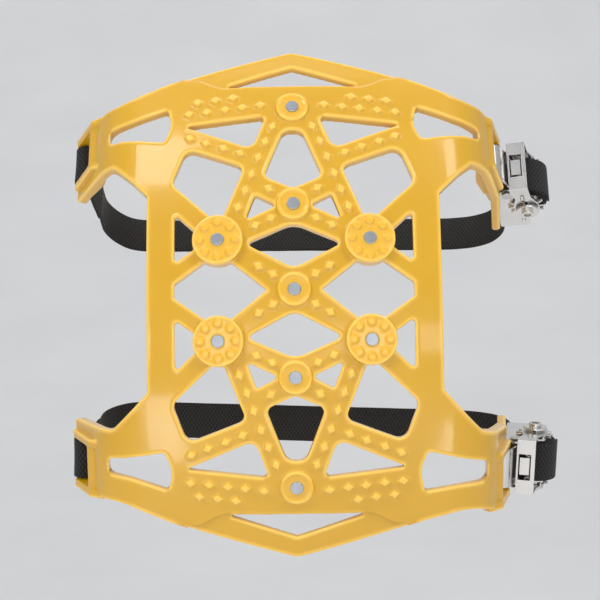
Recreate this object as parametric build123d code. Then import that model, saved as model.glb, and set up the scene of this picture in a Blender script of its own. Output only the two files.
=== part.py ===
from build123d import *
import math
import os

# Anti-skid tread panel that straps round a car tyre.
# Frame: origin on the panel's inner face at its centre, -Y outward from the tyre,
# +Z along the tread, +X towards the ratchets. All lengths in millimetres.

# ---------------------------------------------------------------- tyre and panel
SEAT_RADIUS = 333.0          # tread radius of the tyre that the panel sits on
PANEL_THICK = 6.0
FACE_RADIUS = SEAT_RADIUS + PANEL_THICK
CROWN_RADIUS = 700.0         # cross curvature of the tread, at the outer face
CROWN_HALF = 92.0            # half width of the crown, along the outer face
SHOULDER_RADIUS = 38.0       # outer face over the tyre's shoulder
LEAN = {"left": 64.0, "right": 74.0}      # final slope of the ears, degrees
EAR_END = 167.0              # outer face length from the centre to the ear's end
BAND_HALF_ANGLE = 30.0       # the band is made this far either way, then trimmed
TRIM_NEAR = 190.0            # distances from the axle between which the
TRIM_FAR = 350.0             # radial cutters run
LEFT_ANGLE = 19.2            # the left ears are this far round from the middle
RIGHT_ANGLE = {"upper": 18.8, "lower": 21.4}      # the lower right ear is pulled outward

NOSE_DROP = 1.4              # the nose bars are this much thinner than the body

# raised features on the outer face
GRIP_LONG = 7.4              # diamond grips, along and across their bar
GRIP_WIDE = 5.8
GRIP_HIGH = 2.0
CENTRE_DISC_RADIUS = 10.0
CENTRE_DISC_HIGH = 1.9
CENTRE_DISC_RIM = 1.1
DISH = 0.5                   # the discs and hubs are this much dished inside their rims
HUB_RADIUS = 15.2
HUB_HIGH = 3.6
HUB_RIM = 0.9
HUB_BUMPS = 8
HUB_BUMP_RADIUS = 2.4
HUB_BUMP_CIRCLE = 10.6
HUB_BUMP_HIGH = 1.3
HUB_AT = (45.2, 30.3)
CENTRE_DISCS_AT = (0.0, 52.2, 117.8)

# steel studs: a flat head over a shank set in the panel
STUD_HEAD_RADIUS = 3.9
STUD_HEAD_HIGH = 1.4
STUD_SHANK_RADIUS = 2.2
STUD_SINK = 4.0

# ears
RIB_AT = 139.5               # thick rib that stiffens the ear before its slot
RIB_RADIUS = 5.6
SLOT_FROM = 146.5            # slot along the outer face
END_BAR_AT = 162.0
END_BAR_RADIUS = 4.5
SLOT_HALF = 13.2             # half length of the slot, round the tyre
CHEEK_THICK = 5.0
TIP_THICK = 4.2
TONGUE_FROM = 14.4           # long tongue on the right ears, off the middle plane
TONGUE_THICK = 4.4
EAR_HALF = SLOT_HALF + CHEEK_THICK

# webbing
STRAP_WIDTH = 24.6
STRAP_THICK = 1.4
GAP = 0.3                    # clearance between neighbouring bodies
BAR_CLEAR = 0.75             # round the end bars, for the loop and the link
LOOP_INNER = END_BAR_RADIUS + BAR_CLEAR
CROSS_DEPTH = 147.0          # the strap crosses behind the tyre at this depth
CORNER = 15.0

# ratchets, in their own plane: P towards the ear, Q outward, about the spool axis
SPOOL_X = 152.0
SPOOL_DEPTH = 84.0
RATCHET_TILT = 11.0
SHEET = 1.2
BASE_TOP = -17.8
FRAME_INNER = 12.9
FRAME_OUTER = FRAME_INNER + SHEET
GEAR_INNER = FRAME_OUTER + 0.3
GEAR_THICK = 1.6
GEAR_OUTER = GEAR_INNER + GEAR_THICK
HANDLE_INNER = GEAR_OUTER + 0.4
HANDLE_OUTER = HANDLE_INNER + SHEET
SPOOL_RADIUS = 5.5
SPOOL_RUN = 0.06             # running clearance of the spool in its bores
SPOOL_SLOT = 1.8
SPOOL_HALF = HANDLE_OUTER + 1.3
CAP_RADIUS = 7.4
CAP_THICK = 1.2
CAP_NECK_RADIUS = 3.9
CAP_NECK_BORE = 2.3
CAP_NECK_LONG = 2.2
ROLL_RADIUS = 14.9
TEETH = 12
GEAR_TIP = 11.8
GEAR_ROOT = 8.2
GEAR_PHASE = -11.6           # angle of the gap that the drive pawl drops into
PAWL_THICK = 1.6
PAWL_TRAVEL = 2.8
PAWL_REST = 12.4             # the pawls' tips stand just clear of the teeth
DRIVE_PAWL_Q = -2.0
LOCK_PAWL_Q = -3.2
PAWL_SLOT_GAP = 0.35
PAWL_REACH = 0.9             # the drive pawl stands this far out of the handle's slots
PAWL_LENGTH = 4.8            # length of the tongues in the slots
BRIDGE_AT = ROLL_RADIUS + PAWL_TRAVEL + 0.5       # the bridges clear the full roll
BRIDGE_WIDE = 2.2
ARM_INNER = FRAME_OUTER + 0.2
ARM_OUTER = HANDLE_INNER - GAP
GRIP_PLATE_P = 25.0
FRAME_BACK_P = -26.0
BOLT_AT = (15.6, -11.5)
BOLT_RADIUS = 2.4
BOLT_RUN = 0.06
BOLT_HEAD = 1.9
HEXAGON = 3.9
LINK_THICK = 1.6
LINK_WIDTH = 24.0
SPRING_WIRE = 0.6
SPRING_RADIUS = 2.0

AXLE = Axis((0, SEAT_RADIUS, 0), (1, 0, 0))


# ---------------------------------------------------------------- surface helpers
def meridian(u, side):
    """Outer face at length u from the middle: (x, depth, slope in degrees), x >= 0."""
    crown_end = CROWN_HALF / CROWN_RADIUS
    if u <= CROWN_HALF:
        a = u / CROWN_RADIUS
        return CROWN_RADIUS * math.sin(a), CROWN_RADIUS * (1 - math.cos(a)), math.degrees(a)
    x0 = CROWN_RADIUS * math.sin(crown_end)
    d0 = CROWN_RADIUS * (1 - math.cos(crown_end))
    last = math.radians(LEAN[side])
    a = min(crown_end + (u - CROWN_HALF) / SHOULDER_RADIUS, last)
    x = x0 + SHOULDER_RADIUS * (math.sin(a) - math.sin(crown_end))
    d = d0 + SHOULDER_RADIUS * (math.cos(crown_end) - math.cos(a))
    over = u - CROWN_HALF - SHOULDER_RADIUS * (last - crown_end)
    if over > 0:
        x += over * math.cos(last)
        d += over * math.sin(last)
    return x, d, math.degrees(a)


def section_point(u, side, sink=0.0):
    """Point of the cross section, sunk below the outer face, in the XY plane."""
    x, depth, slope = meridian(u, side)
    a = math.radians(slope)
    x -= sink * math.sin(a)
    depth += sink * math.cos(a)
    sign = 1 if side == "right" else -1
    return sign * x, depth - PANEL_THICK


def on_face(u, v, lift=0.0):
    """Location on the outer face with Z outward, X along +X and Y along the tread."""
    side = "right" if u >= 0 else "left"
    x, y = section_point(abs(u), side, -lift)
    slope = meridian(abs(u), side)[2] * (1 if u >= 0 else -1)
    around = math.degrees(v / FACE_RADIUS)
    local = Location((x, y, 0), (90, 0, 0)) * Location((0, 0, 0), (0, slope, 0))
    return turned(around) * local


def turned(degrees):
    """Turn about the tyre's axle, positive towards +Z."""
    axle_point = Location((0, SEAT_RADIUS, 0))
    return axle_point * Location((0, 0, 0), (-degrees, 0, 0)) * axle_point.inverse()


def mirrored_pairs(points):
    """The same point in all four quarters of the panel."""
    return [(sx * u, sz * v) for u, v in points for sx in (1, -1) for sz in (1, -1)]


# ---------------------------------------------------------------- panel
def band_section(sink_outer, sink_inner, u_end):
    """Cross section of the band between two depths below the outer face."""
    def half(side, sink):
        crown_end = CROWN_HALF
        arc_end = CROWN_HALF + SHOULDER_RADIUS * (
            math.radians(LEAN[side]) - CROWN_HALF / CROWN_RADIUS)
        mid = (crown_end + arc_end) / 2
        return [section_point(u, side, sink) for u in (crown_end, mid, arc_end, u_end)]

    def run(sink):
        left = half("left", sink)
        right = half("right", sink)
        top = (0, -PANEL_THICK + sink)
        return [
            Line(left[3], left[2]),
            ThreePointArc(left[2], left[1], left[0]),
            ThreePointArc(left[0], top, right[0]),
            ThreePointArc(right[0], right[1], right[2]),
            Line(right[2], right[3]),
        ]

    outer = run(sink_outer)
    inner = run(sink_inner)
    ends = [
        Line(outer[0] @ 0, inner[0] @ 0),
        Line(outer[-1] @ 1, inner[-1] @ 1),
    ]
    return make_face(outer + inner + ends)


def band(sink_outer, sink_inner, u_end, half_angle):
    """The section turned about the axle."""
    section = band_section(sink_outer, sink_inner, u_end)
    return turned(-half_angle) * revolve(section, axis=AXLE, revolution_arc=-2 * half_angle)


def rounded_face(corners):
    """Face inside a closed outline of (x, y, radius) corners."""
    count = len(corners)
    rounds = []
    for k in range(count):
        here = Vector(*corners[k][:2])
        before = Vector(*corners[k - 1][:2]) - here
        after = Vector(*corners[(k + 1) % count][:2]) - here
        half_turn = math.radians(before.get_angle(after)) / 2
        room = 0.49 * min(before.length, after.length)
        reach = min(corners[k][2] / math.tan(half_turn), room) if corners[k][2] > 0 else 0
        radius = reach * math.tan(half_turn)
        bisector = before.normalized() + after.normalized()
        top = here
        if corners[k][2] > 0:
            top = here + bisector.normalized() * (radius / math.sin(half_turn) - radius)
        rounds.append((here + before.normalized() * reach, top, here + after.normalized() * reach))
    edges = []
    for k in range(count):
        begin, top, end = rounds[k]
        if corners[k][2] > 0:
            edges.append(ThreePointArc(begin, top, end))
        edges.append(Line(end, rounds[(k + 1) % count][0]))
    return make_face(edges)


def rounded_outline(corners, reach):
    """Closed outline at one distance from the axle, facing outward."""
    flat = []
    for u, v, radius in corners:
        side = "right" if u >= 0 else "left"
        x = meridian(abs(u), side)[0] * (1 if u >= 0 else -1)
        flat.append((x, reach * math.tan(v / FACE_RADIUS), radius))
    face = rounded_face(flat)
    return Plane(origin=(0, SEAT_RADIUS - reach, 0), x_dir=(1, 0, 0), z_dir=(0, -1, 0)) * face


def radial_cutter(corners):
    """Solid whose walls point at the axle, through an outline laid on the tread."""
    near = rounded_outline(corners, TRIM_NEAR)
    far = rounded_outline(corners, TRIM_FAR)
    return loft([near, far], ruled=True)


def whole_outline():
    """The panel's outer outline, one quarter repeated in mirror."""
    quarter = [
        (88.3, 61.0, 3), (112.0, 84.5, 5), (178.0, 84.5, 0), (178.0, 133.5, 0),
        (106.0, 129.0, 30), (75.0, 141.2, 40),
    ]
    pulled = [
        (88.3, 61.0, 3), (114.0, 88.0, 6), (178.0, 96.0, 0), (178.0, 151.0, 0),
        (106.0, 135.0, 30), (75.0, 142.0, 40),
    ]
    back = list(reversed(quarter))
    top = quarter + [(0, 163.5, 8)] + [(-u, v, r) for u, v, r in back]
    bottom = [(-u, -v, r) for u, v, r in quarter] + [(0, -163.5, 8)] + [
        (u, -v, r) for u, v, r in reversed(pulled)]
    return top + bottom


def quarter_windows():
    """Windows that lie in one quarter: corner points and their radii."""
    return [
        [(16.1, 112.4, 2.5), (66.5, 107.1, 0.9), (24.6, 89.3, 6)],
        [(29.0, 77.3, 5), (64.2, 91.2, 6), (73.6, 67.8, 7), (44.2, 40.1, 1)],
        [(9.5, 51.9, 1.8), (22.8, 58.9, 1.3), (29.0, 42.6, 1.3)],
        [(71.4, 48.6, 1.6), (71.4, 17.1, 1.6), (52.8, 30.5, 1)],
    ]


def wing_windows():
    """The window at the root of each wing, in its own quarter."""
    left = [(78.5, 97.0, 3), (115.5, 102.5, 3), (115.5, 112.3, 3), (98.0, 113.6, 40),
            (76.5, 120.5, 2), (73.6, 108.0, 24)]
    right = [(78.5, 97.6, 3), (119.0, 104.5, 3), (119.0, 111.8, 3), (98.0, 113.8, 40),
             (76.5, 120.8, 2), (73.6, 108.0, 24)]
    pulled = [(78.5, 98.2, 3), (118.5, 107.6, 4), (118.5, 121.0, 4), (98.0, 120.4, 60),
              (76.5, 123.2, 2), (73.6, 109.0, 24)]
    return [
        [(-u, v, r) for u, v, r in left], [(-u, -v, r) for u, v, r in left],
        right, [(u, -v, r) for u, v, r in pulled],
    ]


def middle_windows():
    """Windows across the centre line: only the half with u >= 0 is given."""
    return [
        [(0, 150.5, 4), (44.0, 135.3, 1), (0, 134.2, 0)],
        [(5.5, 102.2, 7), (17.8, 70.7, 4.5), (0, 62.9, 6)],
        [(0, 41.0, 15), (29.1, 28.2, 2), (0, 12.9, 10)],
    ]


def mirrored_half(half):
    """Whole window from its half, leaving out a repeated or flat middle point."""
    right = [p for p in half if p[0] > 0]
    top = half[0] if half[0][0] == 0 else None
    bottom = half[-1] if half[-1][0] == 0 and half[-1][2] > 0 else None
    left = [(-u, v, r) for u, v, r in reversed(right)]
    whole = ([top] if top else []) + right + ([bottom] if bottom else []) + left
    return whole


def window_cutters():
    """Every window of the panel."""
    outlines = wing_windows()
    for window in quarter_windows():
        for sx in (1, -1):
            for sz in (1, -1):
                outlines.append([(sx * u, sz * v, r) for u, v, r in window])
    for half in middle_windows():
        whole = mirrored_half(half)
        outlines.append(whole)
        outlines.append([(u, -v, r) for u, v, r in whole])
    for sx in (1, -1):
        outlines.append([(sx * 16.3, 0, 0.8), (sx * 45.0, 23.2, 1), (sx * 71.4, 4.2, 1.2),
                         (sx * 71.4, -4.2, 1.2), (sx * 45.0, -23.2, 1)])
    return [radial_cutter(outline) for outline in outlines]


def nose_relief():
    """Skin taken off the outer face at both nose bars."""
    skin = band(-1.0, NOSE_DROP, 80.0, BAND_HALF_ANGLE)
    half = [(66.0, 175.0), (66.0, 142.8), (57.0, 141.8), (50.0, 137.4), (43.0, 134.6)]
    points = half + [(-u, v) for u, v in reversed(half)]
    reliefs = []
    for sz in (1, -1):
        outline = [(u, sz * v, 0) for u, v in points]
        reliefs.append(skin & radial_cutter(outline))
    return reliefs


def grips():
    """Diamond grips: position and the direction of the long diagonal."""
    rows = [
        ((36.2, 125.8), -7), ((47.0, 124.6), -7), ((57.9, 123.5), -7),
        ((19.4, 119.7), -6), ((30.5, 118.3), -6), ((41.0, 117.3), -6),
        ((52.2, 116.0), -6), ((63.1, 115.2), -6),
        ((62.3, 97.9), 22), ((52.5, 94.0), 22), ((41.8, 90.0), 22), ((31.7, 86.0), 22),
        ((12.1, 104.0), -68), ((16.5, 93.5), -68), ((20.7, 82.9), -68),
        ((24.8, 71.8), -68), ((28.7, 61.3), -68), ((33.0, 50.5), -68),
        ((14.6, 62.1), 30), ((13.4, 43.3), -25), ((22.8, 39.0), -25),
        ((12.5, 9.0), 30), ((21.0, 14.0), 30),
    ]
    solids = []
    for (u, v), slant in rows:
        for sx in (1, -1):
            for sz in (1, -1):
                angle = slant * sx * sz
                seat = on_face(sx * u, sz * v, -1.0) * Location((0, 0, 0), (0, 0, angle))
                a, b = GRIP_LONG / 2, GRIP_WIDE / 2
                rhomb = make_face(Polyline((a, 0), (0, b), (-a, 0), (0, -b), close=True))
                solids.append(seat * extrude(rhomb, GRIP_HIGH + 1.0, taper=8))
    return solids


def dished_disc(radius, high, rim):
    """Round pad standing on the outer face, with a shallow dish inside its rim."""
    body = Pos(0, 0, high / 2 - PANEL_THICK / 2) * Cylinder(radius, high + PANEL_THICK)
    dish = Pos(0, 0, high) * Cone(radius - rim - 2 * DISH, radius - rim, 2 * DISH)
    return body - dish


def centre_disc(v):
    """Raised dished disc on the centre line."""
    return on_face(0, v) * dished_disc(CENTRE_DISC_RADIUS, CENTRE_DISC_HIGH, CENTRE_DISC_RIM)


def hub_disc(u, v):
    """Raised hub with a ring of round bumps."""
    body = dished_disc(HUB_RADIUS, HUB_HIGH, HUB_RIM)
    bump = Cylinder(HUB_BUMP_RADIUS, 2 * HUB_BUMP_HIGH)
    bumps = [
        Pos(HUB_BUMP_CIRCLE * math.cos(a), HUB_BUMP_CIRCLE * math.sin(a), HUB_HIGH - DISH) * bump
        for a in (2 * math.pi * k / HUB_BUMPS for k in range(HUB_BUMPS))
    ]
    return on_face(u, v) * (body + bumps)


def cheek_outline(side):
    """Outline of an ear's flange, in the cross-section plane."""
    marks = [(126.0, 2.5), (136.0, -3.0), (163.0, -3.4), (167.5, 3.0), (166.0, 10.0),
             (150.0, 12.0), (130.0, 8.0)]
    return [section_point(u, side, sink) for u, sink in marks]


def tip_outline(side):
    """Outline of the smaller lobe at the flange's end."""
    marks = [(160.0, 4.4), (175.0, 3.6), (178.0, 6.0), (175.0, 8.6), (160.0, 9.6)]
    return [section_point(u, side, sink) for u, sink in marks]


def tongue(sign):
    """Long tongue that runs down the tyre's sidewall beside a right ear's inner flange."""
    x, y = section_point(EAR_END - 6.0, "right", 2.2)
    outline = [
        (x, y, 0), (x + 4.0, y + 10.0, 20), (x + 8.6, y + 52.0, 2), (x + 3.4, y + 52.0, 2),
        (x - 1.2, y + 12.0, 10), (x - 6.0, y + 4.0, 0),
    ]
    wall = extrude(rounded_face(outline), TONGUE_THICK)
    foot = TONGUE_FROM if sign < 0 else -TONGUE_FROM - TONGUE_THICK
    return Pos(0, 0, foot) * wall


def ear(side, sign):
    """Rib, end bar and two flanges of one ear, in the equatorial plane."""
    rib_x, rib_y = section_point(RIB_AT, side, 3.0)
    bar_x, bar_y = section_point(END_BAR_AT, side, 3.0)
    rib = Pos(rib_x, rib_y, 0) * Cylinder(RIB_RADIUS, 2 * EAR_HALF - 2)
    bar = Pos(bar_x, bar_y, 0) * Cylinder(END_BAR_RADIUS, 2 * SLOT_HALF + 2)
    cheek_face = rounded_face([(x, y, 2.5) for x, y in cheek_outline(side)])
    tip_face = rounded_face([(x, y, 2.0) for x, y in tip_outline(side)])
    solids = [rib, bar]
    for sz in (1, -1):
        wall = extrude(cheek_face, CHEEK_THICK)
        tip = extrude(tip_face, TIP_THICK)
        foot = SLOT_HALF if sz > 0 else -SLOT_HALF - CHEEK_THICK
        tip_foot = SLOT_HALF if sz > 0 else -SLOT_HALF - TIP_THICK
        solids.append(Pos(0, 0, foot) * wall)
        solids.append(Pos(0, 0, tip_foot) * tip)
    if side == "right":
        solids.append(tongue(sign))
    return solids


def ear_cutter(side):
    """Space between the flanges: the slot and everything past it but the end bar."""
    marks = [(SLOT_FROM, -9.0), (EAR_END + 20.0, -9.0), (EAR_END + 20.0, 16.0), (SLOT_FROM, 16.0)]
    corners = [section_point(u, side, sink) for u, sink in marks]
    face = make_face(Polyline(*corners, close=True))
    return extrude(face, SLOT_HALF, both=True)


def tread_panel():
    """The whole moulding."""
    body = band(0.0, PANEL_THICK, EAR_END, BAND_HALF_ANGLE)
    outline = radial_cutter(whole_outline())
    body = body & outline
    body = body - window_cutters()
    body = body - nose_relief()
    for level, sign in (("upper", 1), ("lower", -1)):
        for side, angle in (("left", LEFT_ANGLE), ("right", RIGHT_ANGLE[level])):
            place = turned(sign * angle)
            body = body - [place * ear_cutter(side)]
            body = body + [place * piece for piece in ear(side, sign)]
    discs = [centre_disc(0.0)]
    for v in CENTRE_DISCS_AT[1:]:
        discs += [centre_disc(v), centre_disc(-v)]
    discs += [hub_disc(u, v) for u, v in mirrored_pairs([HUB_AT])]
    body = body + discs
    body = body + grips()
    body = body - stud_sockets()
    return body


# ---------------------------------------------------------------- studs
def centre_stud_places():
    """Dish floors of the centre-line discs."""
    spots = [0.0]
    for v in CENTRE_DISCS_AT[1:]:
        spots += [v, -v]
    return [on_face(0, v, CENTRE_DISC_HIGH - DISH) for v in spots]


def hub_stud_places():
    """Dish floors of the hubs."""
    return [on_face(u, v, HUB_HIGH - DISH) for u, v in mirrored_pairs([HUB_AT])]


def stud():
    """One stud: its head stands on z = 0 and the shank is sunk below."""
    head = Pos(0, 0, STUD_HEAD_HIGH / 2) * Cylinder(STUD_HEAD_RADIUS, STUD_HEAD_HIGH)
    shank = Pos(0, 0, -STUD_SINK / 2) * Cylinder(STUD_SHANK_RADIUS, STUD_SINK)
    crown_edge = head.edges().group_by(Axis.Z)[-1]
    return chamfer(crown_edge, 0.4) + shank


def stud_sockets():
    """Blind holes that hold the studs' shanks."""
    hole = Pos(0, 0, -STUD_SINK / 2) * Cylinder(STUD_SHANK_RADIUS, STUD_SINK)
    return [place * hole for place in centre_stud_places() + hub_stud_places()]


# ---------------------------------------------------------------- ratchet parts
RATCHET = Location((SPOOL_X, SPOOL_DEPTH - PANEL_THICK, 0), (0, 0, -90 - RATCHET_TILT))


def plate(points, radius, inner, thick):
    """A pair of mirrored plates, from |t| = inner to inner + thick."""
    face = rounded_face([(p, q, radius) for p, q in points])
    one = Pos(0, 0, inner) * extrude(face, thick)
    return [one, mirror(one, Plane.XY)]


def block(p_from, p_to, q_from, q_to, half):
    """Box between two P and two Q values, centred on the ratchet's middle plane."""
    centre = Pos((p_from + p_to) / 2, (q_from + q_to) / 2, 0)
    return centre * Box(p_to - p_from, q_to - q_from, 2 * half)


def ratchet_frame():
    """Channel: base plate towards the tyre, two cheeks with the lock pawl's slots, back wall."""
    back = FRAME_BACK_P
    cheek = [(back, BASE_TOP - SHEET), (13.0, BASE_TOP - SHEET), (18.6, -14.6),
             (18.6, -7.2), (12.0, -5.2),
             (8.5, 7.5), (-8.5, 7.5), (-12.0, 0.8), (back, 0.8)]
    cheeks = plate(cheek, 2.0, FRAME_INNER, SHEET)
    base = block(back + 4.0, 9.0, BASE_TOP - SHEET, BASE_TOP, FRAME_OUTER)
    wall = block(back, back + SHEET, -7.2, 0.2, FRAME_OUTER)
    body = base + cheeks + wall
    spool_bore = Cylinder(SPOOL_RADIUS + SPOOL_RUN, 4 * FRAME_OUTER)
    bolt_bore = Pos(*BOLT_AT, 0) * Cylinder(BOLT_RADIUS + BOLT_RUN, 4 * FRAME_OUTER)
    half_slot = PAWL_THICK / 2 + PAWL_SLOT_GAP
    slot = block(-BRIDGE_AT - BRIDGE_WIDE - 0.4, -BRIDGE_AT + PAWL_TRAVEL + 0.4,
                 LOCK_PAWL_Q - half_slot, LOCK_PAWL_Q + half_slot, 2 * FRAME_OUTER)
    return body - spool_bore - bolt_bore - slot


def bar_in_ratchet():
    """Centre of the right ear's end bar in the ratchet's own plane."""
    x, y = section_point(END_BAR_AT, "right", 3.0)
    point = RATCHET.inverse() * Location((x, y, 0))
    return point.position.X, point.position.Y


def anchor_link():
    """Flat steel loop round the ear's end bar and the anchor bolt."""
    bar = bar_in_ratchet()
    bolt = BOLT_AT
    outer_bar = END_BAR_RADIUS + BAR_CLEAR + LINK_THICK
    outer_bolt = BOLT_RADIUS + BOLT_RUN + LINK_THICK
    inner_bolt = BOLT_RADIUS + BOLT_RUN
    outside = make_hull(
        (Pos(*bar) * Circle(outer_bar)).edges() + (Pos(*bolt) * Circle(outer_bolt)).edges())
    hole = make_hull(
        (Pos(*bar) * Circle(END_BAR_RADIUS + BAR_CLEAR)).edges()
        + (Pos(*bolt) * Circle(inner_bolt)).edges())
    return extrude(outside - hole, LINK_WIDTH / 2, both=True)


def anchor_bolt():
    """Hexagon-headed bolt across the frame's cheeks."""
    length = 2 * FRAME_OUTER + BOLT_HEAD + 0.1
    shank = Pos(*BOLT_AT, length / 2 - FRAME_OUTER) * Cylinder(BOLT_RADIUS, length)
    head = extrude(RegularPolygon(HEXAGON, 6), BOLT_HEAD)
    return shank + Pos(*BOLT_AT, -FRAME_OUTER - BOLT_HEAD) * head


def anchor_nut():
    """Hexagon nut on the bolt's end."""
    nut = extrude(RegularPolygon(HEXAGON, 6) - Circle(BOLT_RADIUS), BOLT_HEAD)
    return Pos(*BOLT_AT, FRAME_OUTER) * nut


def spool():
    """Two half-round bars with a slot between them for the webbing."""
    rod = Cylinder(SPOOL_RADIUS, 2 * SPOOL_HALF)
    return rod - Box(4 * SPOOL_RADIUS, SPOOL_SLOT, 4 * SPOOL_HALF)


def ratchet_wheel():
    """Toothed wheel outline: steep face one way, slope the other."""
    pitch = 360.0 / TEETH
    marks = []
    for k in range(TEETH):
        gap = GEAR_PHASE + k * pitch
        marks += [(GEAR_ROOT, gap - 8.5), (GEAR_ROOT, gap + 8.5), (GEAR_TIP, gap + 9.5),
                  (GEAR_TIP, gap + 14.0)]
    points = [(r * math.cos(math.radians(a)), r * math.sin(math.radians(a))) for r, a in marks]
    return make_face(Polyline(*points, close=True)) - Circle(SPOOL_RADIUS)


def ratchet_wheels():
    """The pair of wheels, outside the frame's cheeks."""
    one = Pos(0, 0, GEAR_INNER) * extrude(ratchet_wheel(), GEAR_THICK)
    return [one, mirror(one, Plane.XY)]


def spool_caps():
    """Retaining washers with a short tubular neck on the spool's ends."""
    start = SPOOL_HALF
    washer = Pos(0, 0, start + CAP_THICK / 2) * Cylinder(CAP_RADIUS, CAP_THICK)
    neck = Pos(0, 0, start + CAP_THICK + CAP_NECK_LONG / 2) * Cylinder(
        CAP_NECK_RADIUS, CAP_NECK_LONG)
    hole = Pos(0, 0, start + CAP_THICK + CAP_NECK_LONG / 2) * Cylinder(
        CAP_NECK_BORE, CAP_NECK_LONG)
    one = washer + neck - hole
    return [one, mirror(one, Plane.XY)]


def handle():
    """Lever: two cheeks outside the wheels and a grip plate with a square window."""
    grip_end = GRIP_PLATE_P + SHEET
    cheek = [(-8.0, -5.0), (-8.0, 5.0), (-3.0, 8.6), (5.0, 7.6), (14.0, 3.4), (grip_end, 2.2),
             (grip_end, -9.4), (21.0, -9.4), (13.0, -6.4), (4.0, -8.4)]
    cheeks = plate(cheek, 2.0, HANDLE_INNER, SHEET)
    grip = block(GRIP_PLATE_P, grip_end, -9.4, 2.2, HANDLE_OUTER)
    roof = block(20.5, grip_end, 0.8, 2.2, HANDLE_OUTER)
    window = block(GRIP_PLATE_P - 1, grip_end + 1, -8.1, -0.4, 8.4)
    bore = Cylinder(SPOOL_RADIUS + SPOOL_RUN, 4 * HANDLE_OUTER)
    half_slot = PAWL_THICK / 2 + PAWL_SLOT_GAP
    slot = block(PAWL_REST - PAWL_TRAVEL - 0.4, PAWL_REST + PAWL_LENGTH + 0.4,
                 DRIVE_PAWL_Q - half_slot, DRIVE_PAWL_Q + half_slot, 2 * HANDLE_OUTER)
    return grip + cheeks + roof - window - bore - slot


def pawl_yoke(q):
    """U-shaped plate: two arms over the wheels, joined by a bridge clear of the roll."""
    q0 = q - PAWL_THICK / 2
    q1 = q + PAWL_THICK / 2
    end = BRIDGE_AT + BRIDGE_WIDE
    arms = block(PAWL_REST, end, q0, q1, ARM_OUTER) - block(
        0, 2 * end, q0 - 1, q1 + 1, ARM_INNER)
    return arms + block(BRIDGE_AT, end, q0, q1, ARM_OUTER)


def drive_pawl():
    """Sliding yoke in the handle, with tongues through its slots and a finger tab."""
    q0 = DRIVE_PAWL_Q - PAWL_THICK / 2
    q1 = DRIVE_PAWL_Q + PAWL_THICK / 2
    tongues = block(PAWL_REST, PAWL_REST + PAWL_LENGTH, q0, q1,
                    HANDLE_OUTER + PAWL_REACH)
    between = block(0, 2 * PAWL_REST, q0 - 1, q1 + 1, ARM_INNER)
    stem = block(BRIDGE_AT + 1, 24.2, q0, q1, 4.6)
    tab = block(22.8, 24.2, -7.4, q1, 5.6)
    return pawl_yoke(DRIVE_PAWL_Q) + (tongues - between) + stem + tab


def lock_pawl():
    """Sliding yoke in the frame's slots, on the far side of the spool."""
    return mirror(pawl_yoke(LOCK_PAWL_Q), Plane.YZ)


def spring_pair(p_from, p_to, q, spread):
    """Two compressed coil springs as thin rings side by side along P."""
    turns = 4
    pitch = (p_to - p_from - SPRING_WIRE) / (turns - 1)
    rings = []
    for t in (-spread, spread):
        for k in range(turns):
            p = p_from + SPRING_WIRE / 2 + k * pitch
            rings.append(Pos(p, q, t) * Rot(0, 90, 0) * Torus(SPRING_RADIUS, SPRING_WIRE / 2))
    return rings


def strap_roll():
    """Wound webbing on the spool with the layer through the spool's slot."""
    ring = Cylinder(ROLL_RADIUS, STRAP_WIDTH) - Cylinder(
        SPOOL_RADIUS + SPOOL_RUN, STRAP_WIDTH)
    layer = Box(2 * SPOOL_RADIUS + 1, STRAP_THICK, STRAP_WIDTH)
    return ring + layer


# ---------------------------------------------------------------- straps
def strap_route():
    """Centre line of the strap from the sewn loop to under the spool, as (x, y)."""
    q = BASE_TOP + 2 * GAP + STRAP_THICK / 2
    under = (RATCHET * Location((0.0, q, 0))).position
    leaving = (RATCHET * Location((-34.0, q, 0))).position
    cross = CROSS_DEPTH - PANEL_THICK
    start = loop_end()
    return [
        (start[0], start[1]), (-127.0, 118.0), (-112.0, cross), (112.0, cross), (136.0, 134.0),
        (leaving.X, leaving.Y), (under.X, under.Y),
    ]


def loop_centre():
    """Centre of the left ear's end bar."""
    return section_point(END_BAR_AT, "left", 3.0)


def loop_end():
    """Point where the loop's two layers part company with the run."""
    x, y = loop_centre()
    return x + 5.0, y + 44.0


def strap_run():
    """One length of webbing: wrapped round the bar, sewn to itself and led to the spool."""
    x, y = loop_centre()
    tail_x, tail_y = loop_end()
    heading = math.atan2(tail_y - y, tail_x - x)
    outer = LOOP_INNER + STRAP_THICK
    seam = (x + 17.0 * math.cos(heading), y + 17.0 * math.sin(heading))
    outside = make_hull(
        (Pos(x, y) * Circle(outer)).edges() + (Pos(*seam) * Circle(STRAP_THICK)).edges())
    inside = make_hull(
        (Pos(x, y) * Circle(LOOP_INNER)).edges() + (Pos(*seam) * Circle(0.05)).edges())
    loop = extrude(outside - inside, STRAP_WIDTH / 2, both=True)
    middle = Pos((seam[0] + tail_x) / 2, (seam[1] + tail_y) / 2, 0)
    length = math.hypot(tail_x - seam[0], tail_y - seam[1])
    sewn = middle * Rot(0, 0, math.degrees(heading)) * Box(length, 2 * STRAP_THICK, STRAP_WIDTH)
    route = strap_route()
    path = FilletPolyline(*route, radius=[20.0, CORNER, 20.0, 14.0, 20.0])
    start = path @ 0
    along = path % 0
    section = Plane(origin=start, x_dir=(-along.Y, along.X, 0), z_dir=along) * Rectangle(
        STRAP_THICK, STRAP_WIDTH)
    run = sweep(section, path)
    return loop + sewn + run


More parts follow.
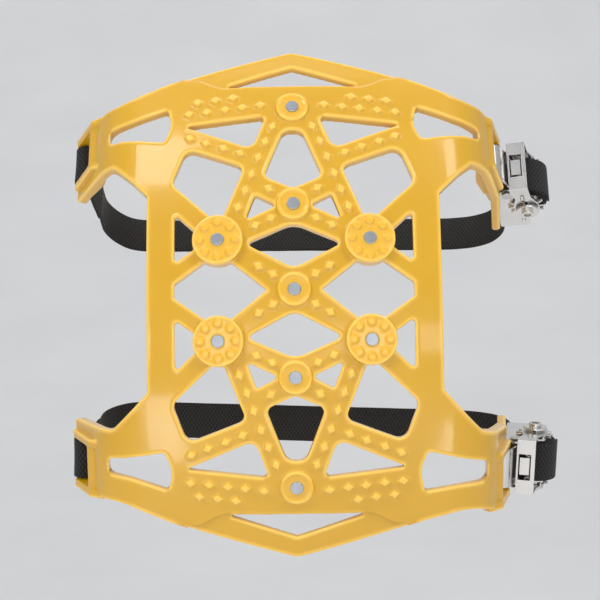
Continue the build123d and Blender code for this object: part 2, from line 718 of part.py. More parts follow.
def strap_stitching():
    """Rows of thread across the sewn layers."""
    x, y = loop_centre()
    tail_x, tail_y = loop_end()
    heading = math.atan2(tail_y - y, tail_x - x)
    rows = []
    for k in range(4):
        reach = 22.0 + k * 5.5
        spot = Pos(x + reach * math.cos(heading), y + reach * math.sin(heading), 0)
        thread = Box(0.8, 2 * STRAP_THICK + 0.8, STRAP_WIDTH - 5) - Box(
            2, 2 * STRAP_THICK, STRAP_WIDTH)
        rows += (spot * Rot(0, 0, math.degrees(heading)) * thread).solids()
    return rows


def strap_plane(level, sign):
    """Plane through both end bars, skewed where one is further round than the other."""
    left_x, left_y = section_point(END_BAR_AT, "left", 3.0)
    right_x, right_y = section_point(END_BAR_AT, "right", 3.0)
    radius = SEAT_RADIUS - (left_y + right_y) / 2
    spread = math.radians(RIGHT_ANGLE[level] - LEFT_ANGLE)
    skew = math.degrees(math.atan(radius * spread / (right_x - left_x)))
    return turned(sign * (RIGHT_ANGLE[level] + LEFT_ANGLE) / 2) * Rot(0, -sign * skew, 0)


# ---------------------------------------------------------------- writing
def write(name, shapes):
    """One STEP file per node."""
    solids = []
    for shape in shapes:
        solids += shape.solids()
    export_step(Compound(children=solids), os.path.join("parts", name + ".step"))
    box = Compound(children=solids).bounding_box()
    print(name, len(solids), "solids", round(sum(s.volume for s in solids)), "mm3",
          [round(c, 1) for c in (*box.min, *box.max)])


def main():
    os.makedirs("parts", exist_ok=True)
    write("tread_panel", [tread_panel()])
    write("centre_studs", [place * stud() for place in centre_stud_places()])
    write("hub_studs", [place * stud() for place in hub_stud_places()])
    in_ratchet = {
        "ratchet_frame": [ratchet_frame()],
        "anchor_link": [anchor_link()],
        "anchor_bolt": [anchor_bolt()],
        "anchor_nut": [anchor_nut()],
        "spool": [spool()],
        "ratchet_wheels": ratchet_wheels(),
        "spool_caps": spool_caps(),
        "handle": [handle()],
        "drive_pawl": [drive_pawl()],
        "drive_pawl_springs": spring_pair(BRIDGE_AT + BRIDGE_WIDE + 0.1, GRIP_PLATE_P - 0.1,
                                          DRIVE_PAWL_Q, 9.0),
        "lock_pawl": [lock_pawl()],
        "lock_pawl_springs": spring_pair(FRAME_BACK_P + SHEET + 0.1,
                                         -BRIDGE_AT - BRIDGE_WIDE - 0.1, LOCK_PAWL_Q, 9.0),
        "strap_roll": [strap_roll()],
    }
    in_plane = {
        "strap_run": [strap_run()],
        "strap_stitching": strap_stitching(),
    }
    for level, sign in (("upper", 1), ("lower", -1)):
        place = strap_plane(level, sign)
        for name, solids in in_ratchet.items():
            write(level + "_" + name, [place * RATCHET * s for s in solids])
        for name, solids in in_plane.items():
            write(level + "_" + name, [place * s for s in solids])


main()
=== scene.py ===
import bpy
import bmesh
import math
import numpy as np
from mathutils import Matrix, Vector, kdtree


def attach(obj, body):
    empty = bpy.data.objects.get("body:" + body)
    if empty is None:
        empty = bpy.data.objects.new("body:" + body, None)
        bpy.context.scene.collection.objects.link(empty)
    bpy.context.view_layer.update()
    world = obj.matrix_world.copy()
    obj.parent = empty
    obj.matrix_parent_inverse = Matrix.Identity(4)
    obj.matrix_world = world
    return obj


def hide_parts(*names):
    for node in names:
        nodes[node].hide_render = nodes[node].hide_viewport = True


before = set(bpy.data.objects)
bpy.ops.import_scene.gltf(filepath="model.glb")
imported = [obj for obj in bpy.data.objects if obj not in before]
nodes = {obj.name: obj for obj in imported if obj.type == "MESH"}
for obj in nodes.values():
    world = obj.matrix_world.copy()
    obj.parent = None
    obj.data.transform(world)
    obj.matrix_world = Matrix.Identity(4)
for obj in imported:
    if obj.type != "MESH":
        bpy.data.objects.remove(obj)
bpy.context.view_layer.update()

LEVELS = ("upper", "lower")
AXLE_Y = 0.333               # the tyre's axle runs along X at this Y
FACE_RADIUS = 0.339          # outer face of the panel from the axle
LEFT_ANGLE = 19.2            # degrees round the tyre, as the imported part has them
RIGHT_ANGLE = {"upper": 18.8, "lower": 21.4}
SIGN = {"upper": 1, "lower": -1}
LEFT_BAR = (-0.13248, 0.05162)            # centre of the left end bar, in the strap's plane
RIGHT_BAR = (0.12754, 0.05297)
SPOOL_AT = (0.152, 0.078)
RATCHET_TURN = math.radians(-101.0)
STRAP_WIDTH = 0.0246
STRAP_THICK = 0.0014
BAR_WRAP = 0.00525 + STRAP_THICK / 2      # radius of the strap's middle round the bar
ROLL_RADIUS = 0.0149
STRAP_TAIL = (0.005, 0.044)               # from the left end bar to the sewn end of the strap
SEAM_REACH = 0.017                        # along the tail to where the two layers meet


# ---------------------------------------------------------------- camera, floor, lights
def make_camera():
    """Camera a little below the panel's middle, looking up."""
    data = bpy.data.cameras.new("camera")
    data.lens = 102.36
    data.sensor_width = 36.0
    data.clip_start = 0.05
    cam = bpy.data.objects.new("camera", data)
    bpy.context.scene.collection.objects.link(cam)
    lift = math.radians(8.62)
    roll = math.radians(-0.79)
    yaw = math.radians(0.16)
    ahead = Vector((math.sin(yaw), math.cos(lift), math.sin(lift))).normalized()
    turn = ahead.to_track_quat("-Z", "Y").to_matrix()
    cam.matrix_world = (
        Matrix.Translation((0.00044, AXLE_Y - 1.3341, -0.1573))
        @ (turn @ Matrix.Rotation(roll, 3, "Z")).to_4x4())
    bpy.context.scene.camera = cam


def make_floor():
    """Pale sweep: floor, curved corner and wall in one sheet."""
    floor_z = -0.45
    bend = 2.2
    back = 1.4
    profile = [(-6.0, floor_z)]
    steps = 24
    for k in range(steps + 1):
        a = math.pi / 2 * k / steps
        profile.append((back + bend * math.sin(a), floor_z + bend * (1 - math.cos(a))))
    profile.append((back + bend, 9.0))
    half = 9.0
    verts = [(sx * half, y, z) for y, z in profile for sx in (-1, 1)]
    faces = [(2 * k, 2 * k + 1, 2 * k + 3, 2 * k + 2) for k in range(len(profile) - 1)]
    mesh = bpy.data.meshes.new("floor")
    mesh.from_pydata(verts, [], faces)
    for p in mesh.polygons:
        p.use_smooth = True
    obj = bpy.data.objects.new("floor", mesh)
    bpy.context.scene.collection.objects.link(obj)
    mat, node, link, out = new_material("floor_paper")
    shader = node("ShaderNodeBsdfPrincipled")
    noise = node("ShaderNodeTexNoise")
    noise.inputs["Scale"].default_value = 60.0
    tone = ramp(node, [(0.3, grey(0.80)), (0.7, grey(0.84))])
    link(noise.outputs["Fac"], tone.inputs["Fac"])
    link(tone.outputs["Color"], shader.inputs["Base Color"])
    shader.inputs["Roughness"].default_value = 0.8
    link(shader.outputs["BSDF"], out.inputs["Surface"])
    mesh.materials.append(mat)


def area_light(name, place, target, size, power, color=(1, 1, 1), mirrored=True):
    """Soft rectangular light aimed at a point; unmirrored ones leave no highlight."""
    data = bpy.data.lights.new(name, "AREA")
    data.shape = "RECTANGLE"
    data.size, data.size_y = size
    data.energy = power
    data.color = color
    obj = bpy.data.objects.new(name, data)
    obj.location = place
    obj.rotation_euler = (Vector(target) - Vector(place)).to_track_quat("-Z", "Y").to_euler()
    obj.visible_camera = False
    obj.visible_glossy = mirrored
    bpy.context.scene.collection.objects.link(obj)


def make_lights():
    """Soft boxes at either side in front, one overhead, one low, and a pale world."""
    middle = (0, 0.05, 0)
    warm = (1.0, 0.97, 0.93)
    area_light("key_left", (-0.56, -0.98, 1.05), middle, (0.40, 0.36), 3.0, warm)
    area_light("key_right", (0.86, -0.95, 1.12), middle, (0.50, 0.36), 3.0, warm)
    area_light("fill_left", (-0.90, -1.00, 0.90), middle, (0.6, 0.6), 7.5, warm, mirrored=False)
    area_light("fill_right", (1.00, -0.95, 0.90), middle, (0.6, 0.6), 6, warm, mirrored=False)
    area_light("low_left", (-0.25, -0.51, -0.31), (-0.08, 0.008, -0.078), (0.07, 0.20), 0.25, warm)
    area_light("low_right", (0.30, -0.48, -0.35), (0.09, 0.012, -0.09), (0.05, 0.12), 0.10, warm)
    area_light("rear_fill", (-0.5, 1.6, 0.8), middle, (0.8, 0.8), 8, warm, mirrored=False)
    area_light("overhead", (0, -0.1, 1.5), middle, (1.4, 1.0), 4)
    area_light("low_front", (0.1, -1.6, -0.10), middle, (1.2, 0.20), 2.5)
    area_light("wall_wash", (0, 1.2, 3.4), (0, 4.0, 0.6), (4.0, 1.0), 28)
    world = bpy.data.worlds.new("studio")
    bpy.context.scene.world = world
    world.use_nodes = True
    back = world.node_tree.nodes["Background"]
    back.inputs["Color"].default_value = (0.94, 0.96, 1.0, 1)
    back.inputs["Strength"].default_value = 0.52
    bpy.context.scene.view_settings.view_transform = "Standard"


# ---------------------------------------------------------------- material helpers
def new_material(name):
    """Empty node material: (material, node maker, link maker, output node)."""
    mat = bpy.data.materials.new(name)
    mat.use_nodes = True
    tree = mat.node_tree
    tree.nodes.clear()
    out = tree.nodes.new("ShaderNodeOutputMaterial")
    return mat, tree.nodes.new, tree.links.new, out


def ramp(node, stops):
    """Colour ramp with the given (position, colour) stops."""
    r = node("ShaderNodeValToRGB")
    elements = r.color_ramp.elements
    while len(elements) < len(stops):
        elements.new(0.5)
    for element, (at, color) in zip(elements, stops):
        element.position = at
        element.color = (*color, 1) if len(color) == 3 else color
    return r


def grey(v):
    """Neutral colour of one value."""
    return (v, v, v)


def mix_color(node, link, factor, a, b):
    """Mix of two colours; each argument is a socket or a plain value."""
    m = node("ShaderNodeMix")
    m.data_type = "RGBA"
    for value, socket in ((factor, m.inputs[0]), (a, m.inputs[6]), (b, m.inputs[7])):
        if isinstance(value, bpy.types.NodeSocket):
            link(value, socket)
        elif isinstance(value, (int, float)):
            socket.default_value = value
        else:
            socket.default_value = (*value, 1)
    return m.outputs[2]


def math_node(node, link, kind, a, b=0.0, c=0.0):
    """Result of a math node; each argument is a socket or a plain value."""
    m = node("ShaderNodeMath")
    m.operation = kind
    for value, socket in zip((a, b, c), m.inputs):
        if isinstance(value, bpy.types.NodeSocket):
            link(value, socket)
        else:
            socket.default_value = value
    return m.outputs[0]


# ---------------------------------------------------------------- materials
def tpu_material():
    """Glossy translucent yellow-orange moulding, paler at the rims (painted highlight) and on the
    grips (painted glow).
    """
    mat, node, link, out = new_material("moulded_tpu")
    coords = node("ShaderNodeTexCoord")
    rim = node("ShaderNodeAttribute")
    rim.attribute_name = "rim"
    lift = node("ShaderNodeAttribute")
    lift.attribute_name = "lift"
    cloud = node("ShaderNodeTexNoise")
    cloud.inputs["Scale"].default_value = 14.0
    cloud.inputs["Detail"].default_value = 3.0
    link(coords.outputs["Object"], cloud.inputs["Vector"])
    body = mix_color(node, link, cloud.outputs["Fac"], (0.61, 0.333, 0.004), (0.70, 0.394, 0.006))
    # painted glow: raised grips are mixed towards a paler yellow by their height above the face
    pale = mix_color(node, link, lift.outputs["Fac"], body, (0.82, 0.47, 0.030))
    # painted highlight: near the rims the colour is mixed towards a pale yellow by the rim
    # attribute
    color = mix_color(node, link, rim.outputs["Fac"], pale, (0.92, 0.60, 0.10))
    shader = node("ShaderNodeBsdfPrincipled")
    link(color, shader.inputs["Base Color"])
    shader.inputs["Subsurface Weight"].default_value = 0.25
    shader.inputs["Subsurface Scale"].default_value = 0.004
    shader.inputs["Subsurface Radius"].default_value = (1.0, 0.45, 0.08)
    shader.inputs["IOR"].default_value = 1.5
    shader.inputs["Coat Weight"].default_value = 0.7
    shader.inputs["Coat Roughness"].default_value = 0.10
    smear = node("ShaderNodeTexNoise")
    smear.inputs["Scale"].default_value = 30.0
    smear.inputs["Detail"].default_value = 4.0
    link(coords.outputs["Object"], smear.inputs["Vector"])
    rough = ramp(node, [(0.3, grey(0.28)), (0.7, grey(0.40))])
    link(smear.outputs["Fac"], rough.inputs["Fac"])
    link(rough.outputs["Color"], shader.inputs["Roughness"])
    wave = node("ShaderNodeTexNoise")
    wave.inputs["Scale"].default_value = 55.0
    wave.inputs["Detail"].default_value = 2.0
    link(coords.outputs["Object"], wave.inputs["Vector"])
    fine = node("ShaderNodeTexNoise")
    fine.inputs["Scale"].default_value = 900.0
    link(coords.outputs["Object"], fine.inputs["Vector"])
    height = math_node(node, link, "MULTIPLY_ADD", fine.outputs["Fac"], 0.03, wave.outputs["Fac"])
    bump = node("ShaderNodeBump")
    bump.inputs["Strength"].default_value = 0.25
    bump.inputs["Distance"].default_value = 0.0012
    link(height, bump.inputs["Height"])
    link(bump.outputs["Normal"], shader.inputs["Normal"])
    link(shader.outputs["BSDF"], out.inputs["Surface"])
    return mat


def steel_material(name, light, dark, rough_range, scratch_scale):
    """Plated sheet steel: rolled streaks, small pits, a painted highlight that lightens the edges,
    softened corners.
    """
    mat, node, link, out = new_material(name)
    coords = node("ShaderNodeTexCoord")
    stretch = node("ShaderNodeMapping")
    stretch.inputs["Scale"].default_value = (scratch_scale * 0.12, scratch_scale, scratch_scale)
    link(coords.outputs["Object"], stretch.inputs["Vector"])
    streaks = node("ShaderNodeTexNoise")
    streaks.inputs["Scale"].default_value = 1.0
    streaks.inputs["Detail"].default_value = 3.0
    link(stretch.outputs["Vector"], streaks.inputs["Vector"])
    blotch = node("ShaderNodeTexNoise")
    blotch.inputs["Scale"].default_value = 90.0
    blotch.inputs["Detail"].default_value = 4.0
    link(coords.outputs["Object"], blotch.inputs["Vector"])
    pits = node("ShaderNodeTexVoronoi")
    pits.inputs["Scale"].default_value = 700.0
    link(coords.outputs["Object"], pits.inputs["Vector"])
    base = mix_color(node, link, blotch.outputs["Fac"], dark, light)
    rounded = node("ShaderNodeBevel")
    rounded.samples = 6
    rounded.inputs["Radius"].default_value = 0.0004
    geometry = node("ShaderNodeNewGeometry")
    dot = node("ShaderNodeVectorMath")
    dot.operation = "DOT_PRODUCT"
    link(rounded.outputs["Normal"], dot.inputs[0])
    link(geometry.outputs["Normal"], dot.inputs[1])
    # painted highlight: lighter colour along the edges, where the rounded normal leans away from
    # the face
    painted_edge_highlight = ramp(node, [(0.80, grey(1.0)), (0.985, grey(0.0))])
    link(dot.outputs["Value"], painted_edge_highlight.inputs["Fac"])
    edge_highlight_tone = tuple(min(1, c * 1.12) for c in light)
    color = mix_color(node, link, painted_edge_highlight.outputs["Color"], base, edge_highlight_tone)
    shader = node("ShaderNodeBsdfPrincipled")
    link(color, shader.inputs["Base Color"])
    shader.inputs["Metallic"].default_value = 1.0
    rough = ramp(node, [(0.3, grey(rough_range[0])), (0.7, grey(rough_range[1]))])
    link(streaks.outputs["Fac"], rough.inputs["Fac"])
    link(rough.outputs["Color"], shader.inputs["Roughness"])
    height = math_node(node, link, "MULTIPLY_ADD", streaks.outputs["Fac"], 0.15,
                       pits.outputs["Distance"])
    bump = node("ShaderNodeBump")
    bump.inputs["Strength"].default_value = 0.05
    bump.inputs["Distance"].default_value = 0.00005
    link(height, bump.inputs["Height"])
    link(rounded.outputs["Normal"], bump.inputs["Normal"])
    link(bump.outputs["Normal"], shader.inputs["Normal"])
    link(shader.outputs["BSDF"], out.inputs["Surface"])
    return mat


def webbing_material():
    """Woven polyester: UV X runs along the strap and UV Y across it, both in metres."""
    mat, node, link, out = new_material("black_webbing")
    uv = node("ShaderNodeUVMap")
    uv.uv_map = "along"
    split = node("ShaderNodeSeparateXYZ")
    link(uv.outputs["UV"], split.inputs["Vector"])
    ends = 0.0020
    picks = 0.0024
    across = math_node(node, link, "DIVIDE", split.outputs["Y"], ends)
    along = math_node(node, link, "DIVIDE", split.outputs["X"], picks)
    column = math_node(node, link, "FLOOR", across)
    shifted = math_node(node, link, "MULTIPLY_ADD", column, 0.5, along)
    rib = math_node(node, link, "SINE", math_node(node, link, "MULTIPLY", across, 2 * math.pi))
    knot = math_node(node, link, "SINE", math_node(node, link, "MULTIPLY", shifted, 2 * math.pi))
    rib_abs = math_node(node, link, "ABSOLUTE", rib)
    weave = math_node(node, link, "MULTIPLY_ADD", knot, 0.45,
                      math_node(node, link, "MULTIPLY", rib_abs, 0.7))
    fibre = node("ShaderNodeTexNoise")
    fibre.inputs["Scale"].default_value = 2500.0
    fibre.inputs["Detail"].default_value = 3.0
    height = math_node(node, link, "MULTIPLY_ADD", fibre.outputs["Fac"], 0.25, weave)
    # painted shade and light: darker in the hollows of the weave, lighter on its raised threads
    tone = ramp(node, [(0.15, grey(0.0015)), (0.45, grey(0.007)), (0.9, grey(0.042))])
    link(math_node(node, link, "MULTIPLY_ADD", weave, 0.4, 0.4), tone.inputs["Fac"])
    shader = node("ShaderNodeBsdfPrincipled")
    link(tone.outputs["Color"], shader.inputs["Base Color"])
    shader.inputs["Roughness"].default_value = 0.55
    shader.inputs["Specular IOR Level"].default_value = 0.22
    shader.inputs["Sheen Weight"].default_value = 0.06
    shader.inputs["Sheen Roughness"].default_value = 0.4
    bump = node("ShaderNodeBump")
    bump.inputs["Strength"].default_value = 0.9
    bump.inputs["Distance"].default_value = 0.0004
    link(height, bump.inputs["Height"])
    link(bump.outputs["Normal"], shader.inputs["Normal"])
    link(shader.outputs["BSDF"], out.inputs["Surface"])
    return mat


def paint(name, mat):
    """Give a CAD node one material."""
    obj = nodes[name]
    obj.data.materials.clear()
    obj.data.materials.append(mat)


# ---------------------------------------------------------------- panel
def rim_points(source):
    """Points along the rims where the outer face meets a wall that goes inward."""
    spacing = 0.0005
    low_wall = 0.002
    bm = bmesh.new()
    bm.from_mesh(source.data)
    bmesh.ops.remove_doubles(bm, verts=bm.verts, dist=1e-6)
    points, normals = [], []
    for edge in bm.edges:
        if len(edge.link_faces) != 2 or edge.calc_face_angle(0) < 0.9:
            continue
        for face, wall in (tuple(edge.link_faces), tuple(edge.link_faces)[::-1]):
            middle = (edge.verts[0].co + edge.verts[1].co) / 2
            outward = Vector((0, middle.y - AXLE_Y, middle.z)).normalized()
            if abs(middle.x) > 0.09:
                outward = (outward + Vector((math.copysign(1.2, middle.x), 0, 0))).normalized()
            depth = max((middle - v.co).dot(face.normal) for v in wall.verts)
            if face.normal.dot(outward) > 0.7 and depth > low_wall:
                count = max(1, int(edge.calc_length() / spacing))
                for k in range(count):
                    points.append(edge.verts[0].co.lerp(edge.verts[1].co, (k + 0.5) / count))
                    normals.append(face.normal.copy())
    bm.free()
    return points, normals


def moulded_panel():
    """The panel remeshed so that its corners are round, with a fine bead along its rims."""
    source = nodes["tread_panel"]
    voxel = 0.0006
    mesh = source.data.copy()
    mesh.name = "moulded_panel"
    obj = bpy.data.objects.new("moulded_panel", mesh)
    bpy.context.scene.collection.objects.link(obj)
    grid = obj.modifiers.new("grid", "REMESH")
    grid.mode = "VOXEL"
    grid.voxel_size = voxel
    grid.use_smooth_shade = True
    relax = obj.modifiers.new("relax", "SMOOTH")
    relax.factor = 0.5
    relax.iterations = 3
    graph = bpy.context.evaluated_depsgraph_get()
    made = bpy.data.meshes.new_from_object(obj.evaluated_get(graph))
    obj.modifiers.clear()
    obj.data = made
    made.name = "moulded_panel"
    shape_rims(made, source)
    made.materials.clear()
    made.materials.append(tpu_material())
    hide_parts("tread_panel")
    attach(obj, "panel")


def shape_rims(mesh, source):
    """Raise the bead along the rims and store how near each point is to one, as the mask of the
    painted rim highlight.
    """
    bead_at = 0.0011
    bead_wide = 0.0007
    bead_high = 0.00035
    # width of the painted highlight along the rims
    glow = 0.0016
    points, normals = rim_points(source)
    tree = kdtree.KDTree(len(points))
    for k, p in enumerate(points):
        tree.insert(p, k)
    tree.balance()
    count = len(mesh.vertices)
    co = np.empty(count * 3)
    mesh.vertices.foreach_get("co", co)
    co = co.reshape(-1, 3)
    no = np.empty(count * 3)
    mesh.vertex_normals.foreach_get("vector", no)
    no = no.reshape(-1, 3)
    rim = np.zeros(count)
    push = np.zeros(count)
    reach = 3.5 * glow
    for i in range(count):
        _, k, d = tree.find(co[i])
        if d < reach:
            # painted rim highlight: its strength falls off with distance from the rim
            rim[i] = math.exp(-((d / glow) ** 2))
            facing = normals[k].dot(no[i])
            if facing > 0.6:
                push[i] = bead_high * math.exp(-(((d - bead_at) / bead_wide) ** 2))
    co += no * push[:, None]
    mesh.vertices.foreach_set("co", co.ravel())
    # mask of the painted rim highlight, read by the panel's material
    attribute = mesh.attributes.new("rim", "FLOAT", "POINT")
    attribute.data.foreach_set("value", rim)
    # height mask for the painted glow on the grips
    lift = mesh.attributes.new("lift", "FLOAT", "POINT")
    lift.data.foreach_set("value", lift_above_crown(co))
    mesh.update()


def lift_above_crown(co):
    """0 on the outer face and 1 where a grip stands 2 mm proud of it; the mask of the painted glow
    on the grips.
    """
    crown = 0.700
    grip = 0.002
    depth = FACE_RADIUS - np.hypot(AXLE_Y - co[:, 1], co[:, 2])
    above = np.hypot(co[:, 0], crown - depth) - crown
    return np.clip(above / grip, 0, 1)


# ---------------------------------------------------------------- places in the CAD frame
def strap_plane(level):
    """Matrix of the plane that holds a level's two end bars, strap and ratchet."""
    sign = SIGN[level]
    radius = AXLE_Y - (LEFT_BAR[1] + RIGHT_BAR[1]) / 2
    spread = math.radians(RIGHT_ANGLE[level] - LEFT_ANGLE)
    skew = math.atan(radius * spread / (RIGHT_BAR[0] - LEFT_BAR[0]))
    middle = math.radians((RIGHT_ANGLE[level] + LEFT_ANGLE) / 2)
    axle = Matrix.Translation((0, AXLE_Y, 0))
    turn = axle @ Matrix.Rotation(-sign * middle, 4, "X") @ axle.inverted()
    return turn @ Matrix.Rotation(-sign * skew, 4, "Y")


def ratchet_place(level):
    """Matrix of a ratchet: X towards the ear, Y outward, Z along its spool."""
    return strap_plane(level) @ Matrix.Translation((*SPOOL_AT, 0)) @ Matrix.Rotation(
        RATCHET_TURN, 4, "Z")


# ---------------------------------------------------------------- ribbons
def rounded_path(points, radii, step=0.0012):
    """Evenly spaced points along straight runs joined by arcs at the inner corners."""
    path = [Vector(points[0])]
    for k in range(1, len(points) - 1):
        here = Vector(points[k])
        back = (Vector(points[k - 1]) - here).normalized()
        on = (Vector(points[k + 1]) - here).normalized()
        half = back.angle(on) / 2
        reach = radii[k - 1] / math.tan(half)
        centre = here + (back + on).normalized() * (radii[k - 1] / math.sin(half))
        start = here + back * reach - centre
        sweep = math.pi - 2 * half
        if back.x * on.y - back.y * on.x > 0:
            sweep = -sweep
        first = math.atan2(start.y, start.x)
        count = max(4, int(abs(sweep) * radii[k - 1] / step))
        for i in range(count + 1):
            angle = first + sweep * i / count
            path.append(centre + radii[k - 1] * Vector((math.cos(angle), math.sin(angle))))
    path.append(Vector(points[-1]))
    return resampled(path, step)


def resampled(path, step):
    """The same polyline with even spacing."""
    length = sum((b - a).length for a, b in zip(path, path[1:]))
    count = max(2, round(length / step))
    gap = length / count
    out = [path[0]]
    left = gap
    for a, b in zip(path, path[1:]):
        span = (b - a).length
        at = 0.0
        while span - at >= left - 1e-9 and len(out) < count:
            at += left
            out.append(a.lerp(b, at / span))
            left = gap
        left -= span - at
    out.append(path[-1])
    return out


def relaxed(path, rounds):
    """The polyline with its small corners eased."""
    for _ in range(rounds):
        path = [path[0]] + [
            (a + 2 * b + c) / 4 for a, b, c in zip(path, path[1:], path[2:])] + [path[-1]]
    return path


def ribbon_section(width, thick):
    """Closed outline of a webbing: flat faces and fuller, round selvedges."""
    half = width / 2
    edge = thick * 0.55
    across = [-half + edge + (width - 2 * edge) * k / 14 for k in range(15)]
    top = [(b, thick / 2) for b in across]
    right = [(half - edge + edge * math.cos(a), edge * math.sin(a))
             for a in (0.9, 0.45, 0.0, -0.45, -0.9)]
    bottom = [(b, -thick / 2) for b in reversed(across)]
    left = [(-b, -h) for b, h in right]
    return top + right + bottom + left


def ribbon(name, path, width, thick, ripple=0.00012):
    """Webbing swept along a path in the XY plane, with its weave's UVs in metres."""
    outline = ribbon_section(width, thick)
    rings = len(outline)
    verts, uvs_at = [], []
    run = 0.0
    for k, point in enumerate(path):
        before = path[max(k - 1, 0)]
        after = path[min(k + 1, len(path) - 1)]
        along = (after - before).normalized()
        normal = Vector((-along.y, along.x))
        if k:
            run += (point - path[k - 1]).length
        wave = ripple * (math.sin(run * 190) + 0.6 * math.sin(run * 431 + 1.0))
        for b, h in outline:
            bow = wave * math.cos(b / width * 5.0)
            p = point + normal * (h + bow)
            verts.append((p.x, p.y, b))
            uvs_at.append((run, b if h >= 0 else b + 0.3))
    faces = []
    for k in range(len(path) - 1):
        for i in range(rings):
            j = (i + 1) % rings
            faces.append((k * rings + i, k * rings + j, (k + 1) * rings + j, (k + 1) * rings + i))
    faces.append(tuple(range(rings)))
    last = (len(path) - 1) * rings
    faces.append(tuple(last + i for i in reversed(range(rings))))
    mesh = bpy.data.meshes.new(name)
    mesh.from_pydata(verts, [], faces)
    uv = mesh.uv_layers.new(name="along")
    for loop in mesh.loops:
        uv.data[loop.index].uv = uvs_at[loop.vertex_index]
    for polygon in mesh.polygons:
        polygon.use_smooth = True
    mesh.set_sharp_from_angle(angle=math.radians(60))
    mesh.update()
    obj = bpy.data.objects.new(name, mesh)
    bpy.context.scene.collection.objects.link(obj)
    return obj


def joined(name, objects):
    """One object from several, kept in their own places."""
    bm = bmesh.new()
    for obj in objects:
        data = obj.data
        data.transform(obj.matrix_world)
        bm.from_mesh(data)
        bpy.data.objects.remove(obj)
    mesh = bpy.data.meshes.new(name)
    bm.to_mesh(mesh)
    bm.free()
    whole = bpy.data.objects.new(name, mesh)
    bpy.context.scene.collection.objects.link(whole)
    return whole


def settle(obj, place, mat, body, node):
    """Put a finished piece in the frame in place of a CAD node."""
    obj.data.transform(place)
    obj.data.materials.clear()
    obj.data.materials.append(mat)
    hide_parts(node)
    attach(obj, body)


def strap_path():
    """Middle line of the strap: free end, round the bar, along the seam, to the spool."""
    bar = Vector(LEFT_BAR)
    tail = bar + Vector(STRAP_TAIL)
    heading = (tail - bar).normalized()
    side = Vector((heading.y, -heading.x))
    layer = STRAP_THICK / 2
    seam = bar + heading * SEAM_REACH
    open_angle = math.acos((BAR_WRAP - layer) / SEAM_REACH)
    base = math.atan2(heading.y, heading.x)
    wrap = []
    steps = 40
    first = base + open_angle
    turn = 2 * math.pi - 2 * open_angle
    for k in range(steps + 1):
        a = first + turn * k / steps
        wrap.append(bar + BAR_WRAP * Vector((math.cos(a), math.sin(a))))
    inner = [tail - side * layer, seam - side * layer]
    outer = [seam + side * layer, tail + side * layer - heading * 0.004]
    spool = Matrix.Translation((*SPOOL_AT, 0)) @ Matrix.Rotation(RATCHET_TURN, 4, "Z")
    under = (spool @ Vector((0.002, -0.0165, 0))).xy
    tip = (spool @ Vector((0.007, -0.0160, 0))).xy
    leaving = (spool @ Vector((-0.034, -0.0165, 0))).xy
    across = [tail, (-0.127, 0.118), (-0.112, 0.141), (0.112, 0.141), (0.136, 0.134),
              leaving, under]
    run = relaxed(rounded_path(across, [0.020, 0.015, 0.020, 0.014, 0.020]), 90)
    line = inner + wrap + outer + run[3:] + [tip]
    return relaxed(resampled([Vector(p) for p in line], 0.0012), 2)


def roll_path():
    """Middle line of the wound webbing, from the spool's slot outward."""
    gap = 0.00146
    start = 0.0064
    end = ROLL_RADIUS - STRAP_THICK / 2 - 0.0001
    turns = (end - start) / gap
    steps = int(turns * 72)
    points = [Vector((-0.0052, 0.0)), Vector((0.0044, 0.0))]
    for k in range(steps + 1):
        a = 2 * math.pi * turns * k / steps
        r = start + gap * turns * k / steps
        points.append(Vector((r * math.cos(a), r * math.sin(a))))
    return relaxed(resampled(points, 0.0009), 2)


def make_strap(level, mat):
    """Strap run and roll of one level, in place of their CAD nodes."""
    run = ribbon(level + "_webbing_run", strap_path(), STRAP_WIDTH, STRAP_THICK)
    settle(run, strap_plane(level), mat, "panel", level + "_strap_run")
    roll = ribbon(level + "_webbing_roll", roll_path(), STRAP_WIDTH, STRAP_THICK, 0.00003)
    settle(roll, ratchet_place(level), mat, level + "_spool_set", level + "_strap_roll")


# ---------------------------------------------------------------- thread and wire
def tube(name, path, radius, sides=8):
    """Round bar along a path of 3-D points, closed at both ends."""
    verts, faces = [], []
    up = Vector((0.123, 0.456, 0.881)).normalized()
    for k, point in enumerate(path):
        along = (path[min(k + 1, len(path) - 1)] - path[max(k - 1, 0)]).normalized()
        u = (up - along * up.dot(along)).normalized()
        v = along.cross(u)
        up = u
        for i in range(sides):
            a = 2 * math.pi * i / sides
            verts.append(point + radius * (math.cos(a) * u + math.sin(a) * v))
    for k in range(len(path) - 1):
        for i in range(sides):
            j = (i + 1) % sides
            faces.append((k * sides + i, k * sides + j, (k + 1) * sides + j, (k + 1) * sides + i))
    faces.append(tuple(reversed(range(sides))))
    faces.append(tuple((len(path) - 1) * sides + i for i in range(sides)))
    mesh = bpy.data.meshes.new(name)
    mesh.from_pydata(verts, [], faces)
    for polygon in mesh.polygons:
        polygon.use_smooth = True
    obj = bpy.data.objects.new(name, mesh)
    bpy.context.scene.collection.objects.link(obj)
    return obj


def coil(name, p_from, p_to, q, t):
    """Compression spring along the ratchet's X axis, with closed ends."""
    wire = 0.0003
    radius = 0.0020
    turns = 6
    steps = turns * 28
    path = []
    for k in range(steps + 1):
        share = k / steps
        eased = min(max((share * turns - 0.8) / (turns - 1.6), 0), 1)
        x = p_from + wire + (p_to - p_from - 2 * wire) * eased
        a = 2 * math.pi * turns * share
        path.append(Vector((x, q + radius * math.cos(a), t + radius * math.sin(a))))
    return tube(name, path, wire, 8)


def make_springs(level, mat):
    """The two pairs of pawl springs as real coils."""
    spots = (
        ("drive_pawl_springs", 0.0205, 0.0249, -0.0020, level + "_handle_set"),
        ("lock_pawl_springs", -0.0247, -0.0205, -0.0032, "panel"),
    )
    for name, p_from, p_to, q, body in spots:
        pair = [coil("coil", p_from, p_to, q, t) for t in (-0.009, 0.009)]
        springs = joined(level + "_" + name.replace("springs", "coils"), pair)
        settle(springs, ratchet_place(level), mat, body, level + "_" + name)


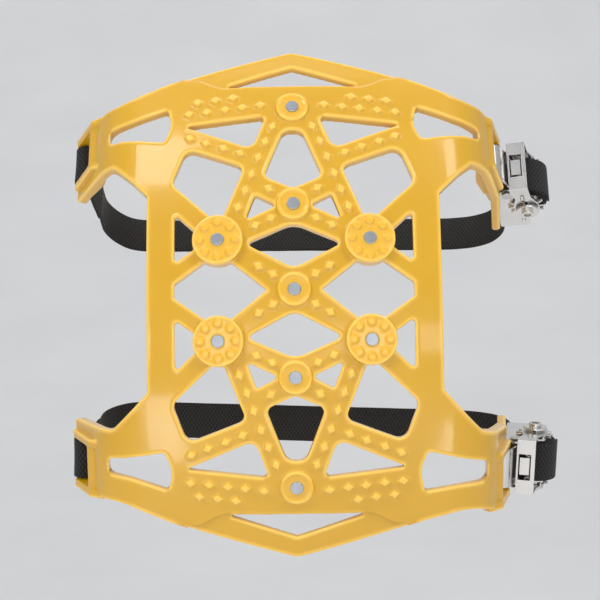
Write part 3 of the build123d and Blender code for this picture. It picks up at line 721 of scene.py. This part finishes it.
def make_stitching(level, mat):
    """Four rows of thread across the sewn layers, one stitch at a time, on both faces."""
    bar = Vector(LEFT_BAR)
    heading = Vector(STRAP_TAIL).normalized()
    side = Vector((heading.y, -heading.x))
    pieces = []
    for row in range(4):
        reach = 0.022 + row * 0.0055
        for face in (1, -1):
            for k in range(9):
                z0 = -0.0096 + k * 0.0021
                path = []
                for i in range(7):
                    share = i / 6
                    high = STRAP_THICK + 0.00032 * math.sin(math.pi * share) - 0.0001
                    lean = 0.0003 * (share - 0.5) * (1 if k % 2 else -1)
                    spot = bar + heading * (reach + lean) + side * (face * high)
                    path.append(Vector((spot.x, spot.y, z0 + 0.0019 * share)))
                pieces.append(tube("stitch", path, 0.00028, 6))
    thread = joined(level + "_thread", pieces)
    settle(thread, strap_plane(level), mat, "panel", level + "_strap_stitching")


def thread_material():
    """Twisted black bonded thread."""
    mat, node, link, out = new_material("sewing_thread")
    coords = node("ShaderNodeTexCoord")
    twist = node("ShaderNodeTexWave")
    twist.bands_direction = "DIAGONAL"
    twist.inputs["Scale"].default_value = 900.0
    twist.inputs["Distortion"].default_value = 1.5
    link(coords.outputs["Object"], twist.inputs["Vector"])
    # painted shade and light: darker in the grooves of the twist, lighter on its crowns
    tone = ramp(node, [(0.2, grey(0.015)), (0.8, grey(0.06))])
    link(twist.outputs["Fac"], tone.inputs["Fac"])
    shader = node("ShaderNodeBsdfPrincipled")
    link(tone.outputs["Color"], shader.inputs["Base Color"])
    shader.inputs["Roughness"].default_value = 0.5
    bump = node("ShaderNodeBump")
    bump.inputs["Strength"].default_value = 0.5
    bump.inputs["Distance"].default_value = 0.0001
    link(twist.outputs["Fac"], bump.inputs["Height"])
    link(bump.outputs["Normal"], shader.inputs["Normal"])
    link(shader.outputs["BSDF"], out.inputs["Surface"])
    return mat


# ---------------------------------------------------------------- build
make_camera()
make_floor()
make_lights()
moulded_panel()

bright = steel_material("plated_steel", (0.76, 0.75, 0.73), (0.64, 0.63, 0.62), (0.20, 0.27),
                        2400)
dull = steel_material("turned_steel", (0.62, 0.62, 0.60), (0.50, 0.50, 0.49), (0.26, 0.34), 2600)
wire = steel_material("spring_wire", (0.50, 0.50, 0.52), (0.38, 0.38, 0.40), (0.26, 0.34), 2600)
studs = steel_material("stud_steel", (0.58, 0.61, 0.66), (0.36, 0.39, 0.44), (0.30, 0.45), 700)
web = webbing_material()
thread = thread_material()
for name in ("centre_studs", "hub_studs"):
    paint(name, studs)
for level in LEVELS:
    for part in ("ratchet_frame", "anchor_link", "ratchet_wheels", "spool_caps", "handle",
                 "drive_pawl", "lock_pawl"):
        paint(level + "_" + part, bright)
    for part in ("anchor_bolt", "anchor_nut", "spool"):
        paint(level + "_" + part, dull)
    make_strap(level, web)
    make_springs(level, wire)
    make_stitching(level, thread)
